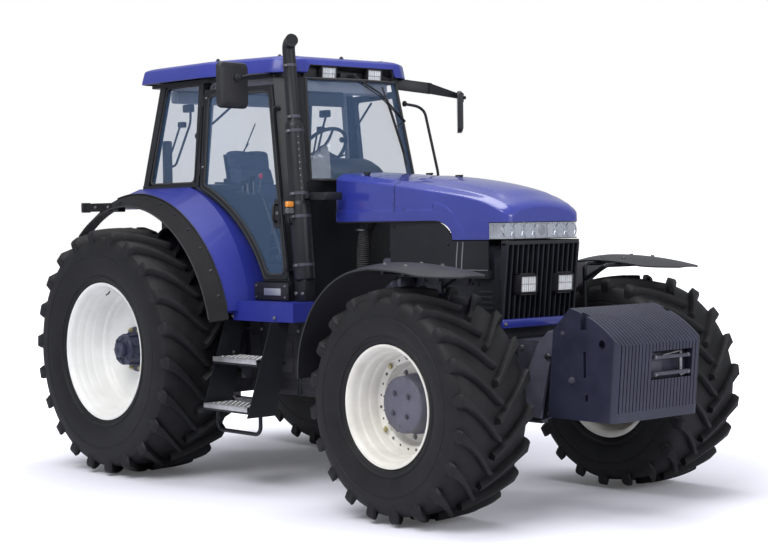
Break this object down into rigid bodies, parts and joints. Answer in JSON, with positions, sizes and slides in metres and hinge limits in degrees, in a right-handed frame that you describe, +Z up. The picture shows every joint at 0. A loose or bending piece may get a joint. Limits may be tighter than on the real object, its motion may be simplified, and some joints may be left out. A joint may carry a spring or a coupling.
{
  "type": "farm tractor",
  "caption": "Row-crop farm tractor with a glazed cab, lugged tyres, front ballast block on its linkage, and a rear three-point linkage.",
  "frame": {"origin": "on the ground, midway between the nose of the ballast block and the ends of the rear lower links, on the middle plane", "axes": "+X forward, +Y to the tractor's left, +Z up"},
  "size_m": [5.3, 2.74, 3.179],
  "materials": {
    "body_paint": "gloss",
    "rim_paint": "satin",
    "hub_paint": "satin",
    "axle_paint": "satin",
    "frame_metal": "satin",
    "ballast_paint": "satin",
    "tyre": "matt",
    "dark_plastic": "grained",
    "glass": "clear, lightly tinted",
    "lamp_glass": "clear",
    "seat_cloth": "woven",
    "floor_mat": "ribbed",
    "link_steel": "worn"
  },
  "bodies": {
    "chassis": {"transmission": "frame_metal", "front_frame": "frame_metal", "engine_block": "frame_metal", "radiator": "frame_metal", "front_axle": "axle_paint", "grille": "dark_plastic", "side_panels": "body_paint", "cab_frame": "frame_metal", "cab_roof": "body_paint", "cab_floor": "floor_mat", "cab_glass": "glass", "dashboard": "dark_plastic", "steering_wheel": "dark_plastic", "seat_base": "dark_plastic", "seat": "seat_cloth", "rear_fenders": "body_paint", "fender_flares": "dark_plastic", "steps": "frame_metal", "fuel_tanks": "dark_plastic", "exhaust": "frame_metal", "mirrors": "dark_plastic", "work_lamps": "lamp_glass", "hand_rails": "frame_metal", "drawbar": "link_steel"},
    "hood": {"hood": "body_paint", "headlamps": "lamp_glass"},
    "front_hitch": {"front_linkage": "frame_metal", "ballast_block": "ballast_paint"},
    "lower_links": {"lower_links": "link_steel"},
    "lift_arms": {"lift_arms": "frame_metal"},
    "lift_rods": {"lift_rods": "link_steel"},
    "top_link": {"top_link": "link_steel"},
    "knuckle_left": {"knuckle_left": "axle_paint", "front_fender_left": "dark_plastic", "fender_stay_left": "frame_metal"},
    "wheel_front_left": {"rim_front_left": "rim_paint", "tyre_front_left": "tyre", "hub_front_left": "axle_paint"},
    "wheel_rear_left": {"rim_rear_left": "rim_paint", "tyre_rear_left": "tyre", "hub_rear_left": "hub_paint"},
    "door_left": {"door_left": "frame_metal", "door_glass_left": "glass"},
    "knuckle_right": {"knuckle_right": "axle_paint", "front_fender_right": "dark_plastic", "fender_stay_right": "frame_metal"},
    "wheel_front_right": {"rim_front_right": "rim_paint", "tyre_front_right": "tyre", "hub_front_right": "axle_paint"},
    "wheel_rear_right": {"rim_rear_right": "rim_paint", "tyre_rear_right": "tyre", "hub_rear_right": "hub_paint"},
    "door_right": {"door_right": "frame_metal", "door_glass_right": "glass"}
  },
  "joints": [
    {"name": "steer_left", "type": "hinge", "parent": "chassis", "child": "knuckle_left", "pos_m": [1.555, 0.8, 0.73], "axis": [0, 0, 1], "range_deg": [-25, 25]},
    {"name": "steer_right", "type": "hinge", "parent": "chassis", "child": "knuckle_right", "pos_m": [1.555, -0.8, 0.73], "axis": [0, 0, 1], "range_deg": [-25, 25]},
    {"name": "wheel_front_left_spin", "type": "hinge", "parent": "knuckle_left", "child": "wheel_front_left", "pos_m": [1.555, 1.02, 0.73], "axis": [0, 1, 0], "continuous": true},
    {"name": "wheel_rear_left_spin", "type": "hinge", "parent": "chassis", "child": "wheel_rear_left", "pos_m": [-1.555, 1.01, 0.92], "axis": [0, 1, 0], "continuous": true},
    {"name": "wheel_front_right_spin", "type": "hinge", "parent": "knuckle_right", "child": "wheel_front_right", "pos_m": [1.555, -1.02, 0.73], "axis": [0, 1, 0], "continuous": true},
    {"name": "wheel_rear_right_spin", "type": "hinge", "parent": "chassis", "child": "wheel_rear_right", "pos_m": [-1.555, -1.01, 0.92], "axis": [0, 1, 0], "continuous": true},
    {"name": "door_right_hinge", "type": "hinge", "parent": "chassis", "child": "door_right", "pos_m": [-1.034, -0.8, 2.13], "axis": [0.0181, -0.0961, -0.9952], "range_deg": [0, 65]},
    {"name": "door_left_hinge", "type": "hinge", "parent": "chassis", "child": "door_left", "pos_m": [-1.034, 0.8, 2.13], "axis": [-0.0181, -0.0961, 0.9952], "range_deg": [0, 65]},
    {"name": "hood_hinge", "type": "hinge", "parent": "chassis", "child": "hood", "pos_m": [0.135, 0, 2.135], "axis": [0, -1, 0], "range_deg": [0, 50]},
    {"name": "front_hitch_lift", "type": "hinge", "parent": "chassis", "child": "front_hitch", "pos_m": [1.845, 0, 0.64], "axis": [0, -1, 0], "range_deg": [-18, 20]},
    {"name": "lower_link_lift", "type": "hinge", "parent": "chassis", "child": "lower_links", "pos_m": [-1.7, 0, 0.56], "axis": [0, 1, 0], "range_deg": [-12, 22]},
    {"name": "lift_arm_turn", "type": "hinge", "parent": "chassis", "child": "lift_arms", "pos_m": [-1.79, 0, 1.15], "axis": [0, 1, 0], "range_deg": [-16, 29]},
    {"name": "lift_rod_turn", "type": "hinge", "parent": "lift_arms", "child": "lift_rods", "pos_m": [-2.1, 0, 1.15], "axis": [0, 1, 0], "range_deg": [-29, 16]},
    {"name": "top_link_swing", "type": "hinge", "parent": "chassis", "child": "top_link", "pos_m": [-1.905, 0, 0.96], "axis": [0, -1, 0], "range_deg": [0, 80]}
  ],
  "couplings": [
    {"joint": "steer_right", "follows": "steer_left", "ratio": 1},
    {"joint": "lift_arm_turn", "follows": "lower_link_lift", "ratio": 1.3},
    {"joint": "lift_rod_turn", "follows": "lower_link_lift", "ratio": -1.3}
  ]
}
